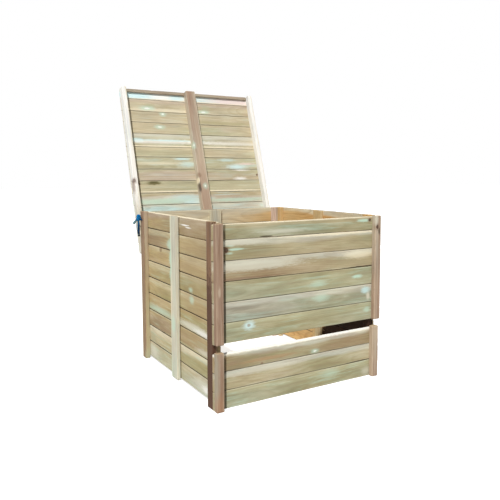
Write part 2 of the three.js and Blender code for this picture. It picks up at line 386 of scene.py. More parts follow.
def makeRopeMaterial(spec):
    material, tree = emptyMaterial("bluePolyRope")
    lay = attribute(tree, "lay")                         # along the strand, round it, strand number
    navy, faded, burnt = split(attribute(tree, "shade"))
    yarn = addNode(tree, "TexWave", {"wave_type": "BANDS", "bands_direction": "Y"}, Vector=lay,
                   Scale=2.6, Distortion=1.2, Detail=2.0, Detail_Scale=1.5).outputs[1]
    fuzz = noise(lay, (900.0, 3.0, 9.0), 4.0, 0.65)
    worn = noise(lay, (70.0, 0.6, 5.0), 3.0, 0.6)
    colour = mixColour(navy, spec["blue"], spec["navy"])
    fading = times(fade(worn, 0.3, 0.6, 0.6, 1.0), faded)
    colour = mixColour(fading, colour, spec["faded"])
    colour = mixColour(fade(yarn, 0.0, 0.35, 0.45, 0.0), colour, spec["furrow"])
    light = times(fade(fuzz, 0.5, 0.85, 0.0, 0.22), calc("SUBTRACT", 1.0, navy))
    colour = mixColour(light, colour, spec["fuzz"])
    colour = mixColour(burnt, colour, spec["burnt"])
    height = timesPlus(yarn, 0.8, times(fuzz, 0.4))
    showSkin(tree, colour, height, 0.7, 0.0005, Specular_IOR_Level=0.15,
             Roughness=fade(fuzz, 0.2, 0.8, 0.42, 0.62))
    return material


def laidRope(name, path, spec, material, shades, sealed=False):
    # three strands laid round each other; shades are stops of (metres, navy, faded, burnt)
    thick, around = spec["thickness"], spec["around"]
    run = runAlong(path)
    ahead, side, up = carriedFrames(path)
    opened = np.clip(run / spec["opensOver"], 0, 1) * (spec["tailLoose"] if sealed else 0.0)
    bead, whipping = (sealed * np.exp(-((run[-1] - back - run) / reach) ** 2)
                      for back, reach in spec["seal"])
    stops = np.array(shades, float)
    points, faces, lay, shade = [], [], [], []
    for strand in range(3):
        angle = 2 * math.pi * (run / spec["layLength"] + strand / 3)
        out = thick * spec["strandOut"] * (1 + opened) * (1 - 0.3 * whipping) * (1 - 0.25 * bead)
        line = path + (np.cos(angle) * out)[:, None] * side + (np.sin(angle) * out)[:, None] * up
        radii = thick * spec["strandShare"] * (1 + 0.8 * opened + 0.35 * bead)
        fromEnd = np.minimum(run, run[-1] - run)
        radii = radii * np.sqrt(np.clip(fromEnd / spec["roundedEnd"], 0.12, 1))
        got, ring = tubeOf(line, radii, around)
        faces += [tuple(len(points) + k for k in f) for f in ring]
        turn = np.tile(np.arange(around) / around, len(path))
        runs = np.repeat(run, around)
        lay += list(zip(runs, np.abs(turn - 0.5) * 4 + runs * 90, np.full(len(turn), strand * 3.7)))
        tone = np.stack([np.interp(run, stops[:, 0], stops[:, k]) for k in (1, 2, 3)], axis=1)
        tone[:, 0] = np.clip(tone[:, 0] + 0.06 * (strand - 1), 0, 1)
        tone[:, 1] = np.maximum(tone[:, 1], 0.9 * whipping)
        tone[:, 2] = np.maximum(tone[:, 2], np.clip(1.6 * bead, 0, 1))
        shade += list(np.repeat(tone, around, axis=0))
        points += list(got)
    made = meshPiece(name, points, faces, material)
    writeAttribute(made.data, "lay", lay)
    writeAttribute(made.data, "shade", shade)
    return made


def knotPaths(spec, side):
    # the standing part comes out of the post's hole; the wraps turn round it in tall loops
    standing = [(12, -20, -9), (6, -20, -9), (0, -20, -9), (-6, -18.5, -8), (-10.5, -14, -4.5),
                (-13, -7, -1), (-13, 0, 0), (-13, 7, 0), (-13, 12.4, 0)]
    wraps = []
    firstTurn, lastTurn = 0.42, 2.51
    for turn in np.arange(firstTurn, lastTurn, 0.062):
        angle = 2 * math.pi * turn
        grow = 1 + 0.04 * math.sin(3 * angle)
        wraps.append((-13 + 6.6 * grow * math.cos(angle), -8.2 + 6.9 * (turn - firstTurn),
                      3.0 + 6.4 * math.sin(angle) + 8.6 * math.tanh(2.2 * math.sin(angle))))
    wraps += [(-19.2, 3.0, -8.5), (-16.8, 1.2, -13.4), (-14.0, 0.2, -16.4)]
    wraps.append((-13, 0, -17.3) if side == "left" else (-13.2, -0.4, -19.5))
    for route in (standing, wraps):
        route = np.array(route, float)
        if side == "right":
            route[:, 0] = spec["binWidth"] - route[:, 0]
        yield smoothPath(toRow(route + spec["sides"][side]["hole"]), spec["step"])


def makeRopes(spec):
    material = makeRopeMaterial(spec)
    for side, held in spec["sides"].items():
        rope = smoothPath(toRow(spec[side + "Strand"]), spec["step"])
        strand = laidRope(side + "RopeStrand", rope, spec, material, spec["strandShades"])
        parts = [laidRope(side + "RopeKnot" + str(number), path, spec, material, spec["knotShades"][number])
                 for number, path in enumerate(knotPaths(spec, side))]
        knot = parts[0]
        with bpy.context.temp_override(active_object=knot, selected_editable_objects=parts):
            bpy.ops.object.join()
        knot.name = side + "RopeKnot"
        settle(knot, "bin", "rope", "rope_" + side + "_knot")
        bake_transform(strand)
        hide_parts("rope_" + side + "_strand")
        if side == "left":
            rope = smoothPath(toRow(spec["leftTail"]), spec["step"])
            tail = laidRope("leftRopeTail", rope, spec, material, spec["tailShades"], sealed=True)
            settle(tail, "bin", "rope", "rope_left_tail")


makeRopes(ropeSpec)
print("ropes hang")

# pressure-treated pine: named colours that every board is mixed from
tints = {
    "tan": (192, 177, 138), "olive": (170, 161, 120), "paleOlive": (188, 183, 144),
    "greyGreen": (172, 172, 140), "lilacGrey": (170, 166, 147), "pinkGrey": (198, 179, 156),
    "mint": (194, 220, 198), "iceBlue": (200, 226, 222), "cream": (240, 228, 198),
    "paleGrey": (216, 212, 192), "white": (252, 249, 242), "sand": (210, 195, 156),
    "honey": (226, 188, 128), "orange": (234, 180, 110), "rust": (178, 124, 80),
    "pinkBrown": (168, 138, 117), "brownTan": (172, 149, 112), "brown": (132, 101, 78),
    "darkBrown": (84, 57, 42), "nearBlack": (40, 30, 20), "warmTan": (196, 172, 122),
    "warmOlive": (174, 160, 108), "lidTan": (206, 192, 158), "lidOlive": (194, 188, 152),
    "ice": (212, 238, 238), "black": (34, 6, 0), "mossOlive": (108, 100, 58), "blush": (234, 208, 200),
    "dustTan": (164, 152, 132),
}
tints = {name: srgb(*colour) for name, colour in tints.items()}


def emptyGroup(name, knobs, results):
    tree = bpy.data.node_groups.new(name, "ShaderNodeTree")
    for way, sockets in (("INPUT", knobs), ("OUTPUT", results)):
        for label, kind, *value in sockets:
            socket = tree.interface.new_socket(label, in_out=way, socket_type="NodeSocket" + kind)
            if value:
                socket.default_value = (*value[0], 1) if kind == "Color" else value[0]
    return tree, tree.nodes.new("NodeGroupInput").outputs, tree.nodes.new("NodeGroupOutput").inputs


pineSpec = {
    "noises": {    # how far stretched along, across and into the log, then detail and roughness
        "drift": ((1.9, 9.0, 9.0), 3.0, 0.55), "sway": ((1.3, 4.0, 4.0),), "wander": ((7.0, 60.0, 60.0), 3.0),
        "wobble": ((95.0, 95.0, 95.0), 3.0), "fibre": ((11.0, 640.0, 640.0), 4.0, 0.6),
        "streak": ((2.4, 88.0, 88.0), 4.0, 0.62), "blotch": ((3.4, 17.0, 17.0), 4.0, 0.6),
        "patchy": ((4.6, 30.0, 30.0), 4.0, 0.62), "check": ((5.0, 330.0, 330.0), 2.0, 0.5),
        "pores": ((700.0, 700.0, 700.0), 2.0),
    },
    "moved": {"patchy": (3.1, 0.4, 1.7), "check": (9.3, 2.4, 0.7)},     # so that they differ from the others
    "knotsPerMetre": (3.1, 9.0, 0.0), "knotLength": 0.78,
    "lateWood": (0.60, 0.47, 0.33), "dirty": (0.62, 0.56, 0.47),
    "furrow": (0.12, 0.085, 0.045), "crack": (0.045, 0.03, 0.018),
    "darkKnot": (srgb(96, 62, 38), srgb(140, 98, 62)), "paleKnot": (srgb(196, 178, 140), srgb(228, 222, 200)),
    "knotRim": srgb(104, 76, 50), "joint": srgb(66, 48, 28),
# the dark gap colour: dirt, and painted shade at the board gaps and in the battens' shadow
}


def buildPineGroup(spec):
    knobs = [("Patch colour", "Color", tints["mint"]), ("Warm colour", "Color", tints["pinkBrown"]),
             ("Weather colour", "Color", tints["paleGrey"]), ("End colour", "Color", tints["brownTan"]),
             ("Rings", "Float", 0.6), ("Ring pitch", "Float", 0.007), ("Knot share", "Float", 0.25),
             ("Streaks", "Float", 0.6), ("Crest", "Float", 0.9)]
    results = [("Color", "Color"), ("Roughness", "Float"), ("Height", "Float")]
    tree, given, result = emptyGroup("treatedPine", knobs, results)

    grain = attribute(tree, "grain")                     # along, across and into the log, in metres
    place = split(attribute(tree, "board"))        # -0.5 to 0.5 each way
    noises = {name: noise(vectorCalc("ADD", grain, spec["moved"][name]) if name in spec["moved"] else grain,
                          *settings) for name, settings in spec["noises"].items()}
    fibre, streak, blotch, patchy, check, pores = list(noises.values())[4:]
    # the upper part of each lying board takes the crest colour, mostly paler: a painted highlight where light
    # falls on its crowned top
    crest = timesPlus(noises["drift"], 0.9, calc("SUBTRACT", place[1], 0.45))
    crest = times(fade(crest, 0.08, 0.36), given["Crest"])
    tint = mixColour(crest, attribute(tree, "tint"), attribute(tree, "crest"))
    minty, warm, weathered = split(attribute(tree, "mood"))
    arris, sawn, joint = split(attribute(tree, "worn"))

    # knots: one point in each long cell, real distances from it
    cell = spec["knotsPerMetre"]
    inCells = stretched(grain, cell)
    spots = addNode(tree, "TexVoronoi", {"voronoi_dimensions": "2D"}, Scale=1.0, Randomness=1.0,
                    Vector=inCells).outputs
    gap = vectorCalc("SUBTRACT", inCells, spots["Position"])
    away = vectorCalc("LENGTH", stretched(gap, (spec["knotLength"] / cell[0], 1 / cell[1], 0.0)))
    luck = split(spots["Color"])
    there = calc("LESS_THAN", luck[0], given["Knot share"])
    reach = timesPlus(timesPlus(luck[1], 0.007, 0.009), there, 0.0001)
    wobble = timesPlus(noises["wobble"], 0.5, 0.75)
    knotAway = times(calc("DIVIDE", away, reach), wobble)
    knotCore = fade(knotAway, 1.05, 0.85)
    knotRim = calc("SUBTRACT", fade(knotAway, 1.45, 1.05), knotCore)
    swirl = times(fade(knotAway, 3.6, 0.5), reach)

    # growth rings round a pith that wanders along the log
    sway = vectorCalc("SUBTRACT", noises["sway"].node.outputs["Color"], (0.5, 0.5, 0.5))
    sway = stretched(sway, (0.0, 0.05, 0.08))
    across, deep = split(vectorCalc("ADD", grain, sway))[1:]
    squares = calc("ADD", times(across, across), times(deep, deep))
    radius = calc("ADD", calc("SQRT", squares), swirl)
    radius = timesPlus(noises["wander"], 0.002, radius)
    phase = calc("DIVIDE", radius, given["Ring pitch"])
    saw = calc("FRACT", phase)
    late = times(fade(saw, 0.35, 0.9), fade(saw, 1.0, 0.93))
    uneven = addNode(tree, "TexWhiteNoise", {"noise_dimensions": "1D"}, W=calc("FLOOR", phase))
    late = times(late, timesPlus(uneven.outputs[0], 0.6, 0.4))

    # one stain after the other: blotches, warm and mint patches, weather, rings, dirt, furrows, cracks
    lighter = fillNode("CombineColor", [fade(blotch, 0.25, 0.75, low, high)
                                              for low, high in ((0.84, 1.12), (0.86, 1.11), (0.90, 1.08))])
    colour = filtered(tint, lighter[0])
    warmShare = times(fade(patchy, 0.46, 0.66), warm)
    colour = mixColour(warmShare, colour, given["Warm colour"])
    mintShare = times(fade(streak, 0.44, 0.6), fade(patchy, 0.56, 0.36))
    colour = mixColour(times(mintShare, minty), colour, given["Patch colour"])
    weather = timesPlus(arris, 0.5, fade(blotch, 0.42, 0.68))
    colour = mixColour(times(weather, weathered), colour, given["Weather colour"])
    ringShare = times(late, given["Rings"])
    colour = mixColour(ringShare, colour, filtered(colour, spec["lateWood"]))
    streakShare = times(fade(streak, 0.52, 0.33), given["Streaks"])
    colour = mixColour(streakShare, colour, filtered(colour, spec["dirty"]))
    colour = mixColour(fade(fibre, 0.35, 0.72, 0.18, 0.0), colour, spec["furrow"])
    colour = mixColour(fade(check, 0.71, 0.78, 0.0, 0.45), colour, spec["crack"])

    # knots are mostly red-brown, some resin-pale
    knotRings = timesPlus(calc("SINE", times(knotAway, 19.0)), 0.5, 0.5)
    dark, pale = (mixColour(knotRings, *spec[kind]) for kind in ("darkKnot", "paleKnot"))
    knotColour = mixColour(calc("GREATER_THAN", luck[2], 0.68), dark, pale)
    colour = mixColour(times(knotRim, 0.4), colour, spec["knotRim"])
    colour = mixColour(times(knotCore, 0.6), colour, knotColour)

    # rubbed arrises are paler, sawn ends darker
    rubbed = times(arris, fade(streak, 0.35, 0.65, 0.1, 0.5))
    colour = mixColour(rubbed, colour, mixColour(0.55, colour, tints["cream"]))
    endColour = mixColour(fade(pores, 0.35, 0.7, 0.7, 0.4), colour, given["End colour"])
    colour = mixColour(sawn, colour, endColour)
    # edges at the board gaps and strips beside battens go dark: dirt and painted shade
    colour = mixColour(times(joint, 0.85), colour, spec["joint"])
    plug(colour, result["Color"])

    rough = fade(fibre, 0.2, 0.8, 0.68, 0.9)
    plug(timesPlus(late, -0.08, rough), result["Roughness"])
    height = timesPlus(fibre, 0.9, times(late, 0.35))
    height = timesPlus(fade(check, 0.66, 0.76), -1.4, height)
    height = timesPlus(times(pores, sawn), 0.8, height)
    height = timesPlus(knotRim, -0.5, height)
    plug(timesPlus(knotCore, 0.4, height), result["Height"])
    return tree


def buildMarkGroup():
    # one placed knot or stain: its own centre and reach on the panel
    knobs = [("Color", "Color"), ("Centre", "Vector"), ("Reach", "Vector"), ("Tint", "Color"),
             ("Strength", "Float"), ("Softness", "Float"), ("Rings", "Float")]
    tree, given, result = emptyGroup("placedMark", knobs, [("Color", "Color")])
    spot = attribute(tree, "spot")
    gap = vectorCalc("DIVIDE", vectorCalc("SUBTRACT", spot, given["Centre"]), given["Reach"])
    ragged = noise(attribute(tree, "grain"), (34.0, 170.0, 170.0), 4.0, 0.65)
    away = times(vectorCalc("LENGTH", gap), timesPlus(ragged, 1.5, 0.28))
    outer, inner = (calc(way, 1.0, given["Softness"]) for way in ("ADD", "SUBTRACT"))
    share = times(fade(away, outer, inner), given["Strength"])
    ripple = timesPlus(calc("SINE", times(away, 16.0)), 0.22, 0.78)
    ripple = fillNode("CombineColor", [ripple] * 3)[0]
    shown = filtered(given["Tint"], mixColour(given["Rings"], (1.0, 1.0, 1.0), ripple))
    plug(mixColour(share, given["Color"], shown), result["Color"])
    return tree


pineGroup = buildPineGroup(pineSpec)
markGroup = buildMarkGroup()


def woodMaterial(name, wood, marks=()):
    material, tree = emptyMaterial(name)
    knobs = {label.replace(" ", "_"): tints.get(value, value) for label, value in wood.items()}
    pine = addNode(tree, "Group", {"node_tree": pineGroup}, **knobs).outputs
    colour = pine["Color"]
    for mark in marks:
        colour = addNode(tree, "Group", {"node_tree": markGroup}, Color=colour, **mark).outputs[0]
    showSkin(tree, colour, pine["Height"], 0.55, 0.0011, Roughness=pine["Roughness"], Specular_IOR_Level=0.25)
    return material


def roundedSection(corners, arris, steps=3):
    # corners in turn; every corner gets an arc, every side a few points
    nearArc, fromArc, apart, flat = 0.0008, 0.006, 0.024, 0.016
    corners = [Vector(c) for c in corners]
    arcs = []
    for i, corner in enumerate(corners):
        back = (corners[i - 1] - corner).normalized()
        on = (corners[(i + 1) % len(corners)] - corner).normalized()
        half = back.angle(on) / 2
        reach = arris / math.tan(half)
        centre = corner + (back + on).normalized() * arris / math.sin(half)
        first, last = corner + back * reach - centre, corner + on * reach - centre
        sweep = math.pi - 2 * half
        arcs.append([centre + (first * math.sin(sweep * (1 - k / steps)) + last * math.sin(sweep * k / steps))
                     / math.sin(sweep) for k in range(steps + 1)])
    ring = []
    for i, arc in enumerate(arcs):
        ring += arc
        start, end = arc[-1], arcs[(i + 1) % len(arcs)][0]
        run = (end - start).length
        stops = {nearArc, run - nearArc}
        if run > flat:
            stops |= set(np.linspace(fromArc, run - fromArc, max(2, int(run / apart) + 1)).tolist())
        ring += [start.lerp(end, s / run) for s in sorted(stops)]
    return np.array([tuple(p) for p in ring])


timberSpec = {
    "arris": 0.0026,       # rounding of the long edges
    "shave": 0.0005,       # taken off each long edge, so that gaps show
    "step": 0.021,
    "endBevel": 0.0014,
    "wave": 0.00035, "periods": (0.61, 0.23, 0.095),
    "cup": 0.0004,
    "crown": 0.0,          # how far the long edges of the seen face fall back
    "joint": 0.0,          # how dark the edges that meet the next board are: dirt and painted shade in the gap
    "lees": (),            # stretches from the near end beside a batten that go dark: painted shadow of the batten on the front boards, a dark line in front of the middle batten on the left wall
    "lee": 0.8,
    "chips": 2, "chipDeep": (0.0008, 0.002), "chipLong": (0.006, 0.016), "chipFromEnd": 0.02,
    "rubbed": 0.006,       # width of the paler edge
}
boardSpec = {**timberSpec, "arris": 0.0034, "crown": 0.0012, "joint": 1.0}


def timberShape(name, size, spec, corners=None):
    # points in (along, wide, thin), from the middle of the timber
    rng = np.random.default_rng(zlib.crc32(name.encode()))
    length, width, thick = size
    width -= 2 * spec["shave"]
    corners = corners or [(-0.5, -0.5), (0.5, -0.5), (0.5, 0.5), (-0.5, 0.5)]
    section = roundedSection([(w * width, t * thick) for w, t in corners], spec["arris"])
    free = spec["chipFromEnd"]
    chips = [(rng.uniform(free, length - free), rng.choice((-1, 1)), rng.choice((-1, 1)),
              rng.uniform(*spec["chipDeep"]), rng.uniform(*spec["chipLong"]))
             for _ in range(rng.poisson(spec["chips"]))]
    bevel, endStep, nick = spec["endBevel"], 0.006, 0.0005
    stops = {0.0, bevel, endStep, length - endStep, length - bevel, length}
    stops |= set(np.linspace(endStep, length - endStep, max(2, int(length / spec["step"]))).tolist())
    for at, _, _, _, reach in chips:
        stops |= {at + k * reach for k in (-1.5, -0.8, -0.35, 0.0, 0.35, 0.8, 1.5)}
    for start, end in spec["lees"]:
        stops |= {start - nick, start + nick, end - nick, end + nick}
    along = np.array(sorted(s for s in stops if 0 <= s <= length))
    along = along[np.concatenate([[True], np.diff(along) > 0.0004])]
    along[-1] = length
    inset = np.where((along == 0) | (along == length), bevel * 0.8, 0.0)[:, None]
    w = section[None, :, 0] * (1 - 2 * inset / width)
    t = section[None, :, 1] * (1 - 2 * inset / thick)
    edgeW, edgeT = np.abs(section[:, 0]) / (width / 2), np.abs(section[:, 1]) / (thick / 2)
    waves = np.zeros((len(along), 2))
    for k, period in enumerate(spec["periods"]):
        phase = rng.uniform(0, 6.28, 2)
        waves += np.sin(along[:, None] * 2 * math.pi / period + phase) * spec["wave"] / (k + 1.3)
    upper = section[None, :, 0] > 0
    w = w + np.where(upper, waves[:, :1], waves[:, 1:]) * edgeW[None]
    t = t + spec["cup"] * rng.uniform(-1, 1) * (edgeW[None] ** 2 - 0.4)
    t = t + spec["crown"] * edgeW[None] ** 2.5 * (section[:, 1] < 0)
    nearArris = (np.clip((edgeW - 1) * width / 0.01 + 1, 0, 1)
                 * np.clip((edgeT - 1) * thick / 0.01 + 1, 0, 1))
    for at, sideW, sideT, depth, reach in chips:
        bite = depth * np.exp(-((along[:, None] - at) / reach) ** 2) * nearArris[None]
        bite = bite * (np.sign(section[:, 0]) == sideW)[None] * (np.sign(section[:, 1]) == sideT)[None]
        w, t = w - sideW * bite, t - sideT * bite * 0.7
    grid = np.stack([np.broadcast_to((along - length / 2)[:, None], w.shape), w, t], axis=2)
    return grid.reshape(-1, 3), tubeFaces(*grid.shape[:2]), rng


def drill(piece, at, axis, across, depth):
    # a blind round hole from a surface point along an axis
    around, overrun = 20, 0.004
    side, up, into = Vector((0, 0, 0)), Vector((0, 0, 0)), Vector((0, 0, 0))
    into[axis], side[(axis + 1) % 3], up[(axis + 2) % 3] = 1, 1, 1
    ends = (-overrun, abs(depth)) if depth > 0 else (-abs(depth), overrun)
    points = [Vector(at) + into * e + (side * math.cos(a) + up * math.sin(a)) * across / 2
              for e in ends for a in np.linspace(0, 2 * math.pi, around, endpoint=False)]
    cutter = meshPiece("drillBit", points, tubeFaces(2, around))
    way = piece.modifiers.new("hole", "BOOLEAN")
    way.object, way.solver, way.operation = cutter, "EXACT", "DIFFERENCE"
    cut = bpy.data.meshes.new_from_object(piece.evaluated_get(bpy.context.evaluated_depsgraph_get()))
    piece.modifiers.clear()
    piece.data = cut
    bpy.data.objects.remove(cutter)


def paintTimber(mesh, centre, axes, size, looks, rng, shift, spec):
    # every attribute follows from where the point is in its timber
    tones, *mood = looks
    tones = [tints[tone] for tone in tones.split()]
    points = meshPoints(mesh)
    local = (points - centre)[:, axes]
    length, width, thick = size
    flip = rng.choice((-1, 1))
    inLog = (rng.uniform(1, 60), rng.uniform(-0.05, 0.05), rng.uniform(0.035, 0.12))
    share = 0.5 + 0.5 * np.sin(local[:, 0] * rng.uniform(3.5, 8) + rng.uniform(0, 6.28))
    tint = np.outer(1 - share, tones[0]) + np.outer(share, tones[1])
    fromSide = np.maximum(width / 2 - np.abs(local[:, 1]), thick / 2 - np.abs(local[:, 2]))
    fromEnd = length / 2 - np.abs(local[:, 0])
    arris = 1 - np.clip(fromSide / spec["rubbed"], 0, 1)
    sawn = 1 - np.clip((fromEnd - 0.0002) / 0.001, 0, 1)
    # edges that meet the next board darken: dirt and painted shade in the gap
    pastEdge = np.abs(local[:, 1]) - width / 2 + spec["shave"]
    joint = np.clip((pastEdge + 0.0016) / 0.0012, 0, 1) * spec["joint"]
    fromStart = local[:, 0] + length / 2
    # strips beside a batten darken: painted shadow on the front boards, a dark line on the left wall
    for start, end in spec["lees"]:
        edge = np.minimum(fromStart - start, end - fromStart)
        seen = (local[:, 2] < 0.3 * thick) * spec["lee"]
        joint = np.maximum(joint, np.clip(edge / 0.001 + 0.5, 0, 1) * seen)
    found = {"grain": local * (1, 1, flip) + inLog, "tint": tint * rng.uniform(0.97, 1.03),
             "crest": np.tile(tones[2], (len(points), 1)), "board": local / (length, width, thick),
             # worn holds rubbed arrises, sawn ends, and the gaps' dirt and painted shade
             "mood": np.tile(mood, (len(points), 1)), "worn": np.stack([arris, sawn, joint], axis=1),
             "spot": points + shift}
    for label, values in found.items():
        writeAttribute(mesh, label, values)


timberCount = {"timbers": 0, "faces": 0}


def makeTimber(name, box, axes, material, looks, place=None, spec=timberSpec, corners=None, holes=()):
    along, thin = axes
    wide = 3 - along - thin
    low, high = (np.array(v, float) for v in box)
    size = (high - low)[[along, wide, thin]]
    shape, faces, rng = timberShape(name, size, spec, corners)
    centre = (low + high) / 2
    points = np.zeros_like(shape)
    points[:, [along, wide, thin]] = shape
    if (along, wide, thin) in ((0, 2, 1), (1, 0, 2), (2, 1, 0)):
        faces = [f[::-1] for f in faces]
    made = meshPiece(name, points + centre, faces, material)
    for cap in list(made.data.polygons)[-2:]:
        cap.use_smooth = False
    for hole in holes:
        drill(made, *hole)
    # marks of the lid are placed in its own frame, all others from the bin's near left corner
    shift = panelCorner / 1000 if place is None else 0.0
    paintTimber(made.data, centre, [along, wide, thin], size, looks, rng, shift, spec)
    if place is not None:
        made.data.transform(place)
    timberCount["timbers"] += 1
    timberCount["faces"] += len(made.data.polygons)
    return made


plainWood = {"Rings": 0.25, "Ring pitch": 0.0065, "Knot share": 0.08, "Streaks": 0.22, "Crest": 0.9,
             "Patch colour": "mint", "Warm colour": "pinkBrown", "Weather colour": "paleGrey"}


def mark(at, reach, tint, strength, softness, rings=0.0):
    return {"Centre": at, "Reach": reach, "Tint": tints[tint], "Strength": strength,
            "Softness": softness, "Rings": rings}


def readMarks(rows, face=None):
    # a row is a tint or a kind of knot, its place and reach in mm, then strength and softness
    for kind, *numbers in rows:
        if face is not None:
            axis, level, deep = face
            numbers.insert(axis, level)
            numbers.insert(axis + 3, deep)
        at, reach, rest = [n / 1000 for n in numbers[:3]], [n / 1000 for n in numbers[3:6]], numbers[6:]
        if kind == "darkKnot":
            yield mark(at, [1.7 * r for r in reach], "brown", 0.5, 0.5)
            yield mark(at, reach, "darkBrown", *(rest or [0.9]), 0.15, 0.8)
        elif kind == "paleKnot":
            yield mark(at, [1.9 * r for r in reach], "mint", 0.65, 0.7)
            yield mark(at, [0.7 * r for r in reach], "white", 0.8, 0.45, 0.3)
        else:
            yield mark(at, reach, kind, *rest)


def marksOf(spec, name):
    marks = [*readMarks(spec["marks"].get(name, ()))]
    return marks + [*readMarks(spec.get("faceMarks", {}).get(name, ()), spec.get("face"))]


def woodFor(spec, label, wood):
    # one material for all timbers without marks, and one for each timber that has some
    made = {}

    def choose(name):
        marks = marksOf(spec, name)
        key = name if marks else label
        if key not in made:
            made[key] = woodMaterial(key, wood, marks)
        return made[key]

    return choose


def timberFor(node, slot, axes, wood, looks, box=None, body="bin", **rest):
    name, *words = node.split("_")
    name += "".join(word.capitalize() for word in words)
    piece = makeTimber(name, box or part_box(node), axes, wood(node), looks, **rest)
    settle(piece, body, slot, node)


nailSpec = {
    "across": 0.0072, "proud": 0.0007, "tilt": 0.0006, "around": 12,
    "profile": ((0.0, 0.72), (0.45, 0.7), (0.72, 1.0), (0.92, 0.75), (1.0, 0.2), (1.0, -1.2)),
    "fromEdge": 0.021,     # of the board
    "fromSide": 0.3,       # share of the batten's width
}


def makeNailMaterial():
    material, tree = emptyMaterial("galvanisedNail")
    place = attribute(tree, "spot")
    mottle = noise(place, (420.0, 420.0, 420.0), 4.0, 0.6)
    rusty = noise(place, (9.0, 9.0, 9.0), 3.0, 0.6)
    colour = mixColour(fade(mottle, 0.3, 0.7), srgb(120, 122, 120), srgb(170, 172, 168))
    colour = mixColour(fade(rusty, 0.45, 0.7, 0.0, 0.8), colour, srgb(112, 70, 44))
    showSkin(tree, colour, mottle, 0.5, 0.0003, Metallic=0.8, Roughness=fade(mottle, 0.2, 0.8, 0.4, 0.62))
    return material


nailMaterial = makeNailMaterial()


def makeNails(name, heads, axis, body, place=None):
    # low domed heads with a struck flat in the middle, all of one wall in one mesh
    rng = np.random.default_rng(zlib.crc32(name.encode()))
    spec, around = nailSpec, nailSpec["around"]
    rings = len(spec["profile"]) - 1
    turn = np.linspace(0, 2 * math.pi, around, endpoint=False)
    points, faces = [], []
    for head in heads:
        first = len(points)
        tilt = rng.uniform(-spec["tilt"], spec["tilt"], 2)
        for out, rise in spec["profile"]:
            for a in (turn if out else (0.0,)):
                point = np.array(head, float)
                across = np.array((math.cos(a), math.sin(a))) * out * spec["across"] / 2
                point[[(axis + 1) % 3, (axis + 2) % 3]] += across + tilt
                point[axis] += rise * spec["proud"]
                points.append(point)
        for j in range(around):
            k = (j + 1) % around
            faces.append((first, first + 1 + j, first + 1 + k))
            for low in range(first + 1, first + 1 + (rings - 1) * around, around):
                faces.append((low + j, low + around + j, low + around + k, low + k))
        last = first + 1 + (rings - 1) * around
        faces.append(tuple(range(last, last + around))[::-1])
    made = meshPiece(name, points, faces, nailMaterial)
    writeAttribute(made.data, "spot", points)
    if place is not None:
        made.data.transform(place)
    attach(made, body)


def nailGrid(rows, columns, corner=0.0):
    # rows are (low, high) of the boards, columns (low, high) of what they are nailed to
    inset, share = nailSpec["fromEdge"], nailSpec["fromSide"]
    columns = [(start - corner, end - corner) for start, end in columns]
    return [(c, r) for low, high in rows for r in (low + inset, high - inset)
            for start, end in columns for c in (start + (end - start) * share, end - (end - start) * share)]


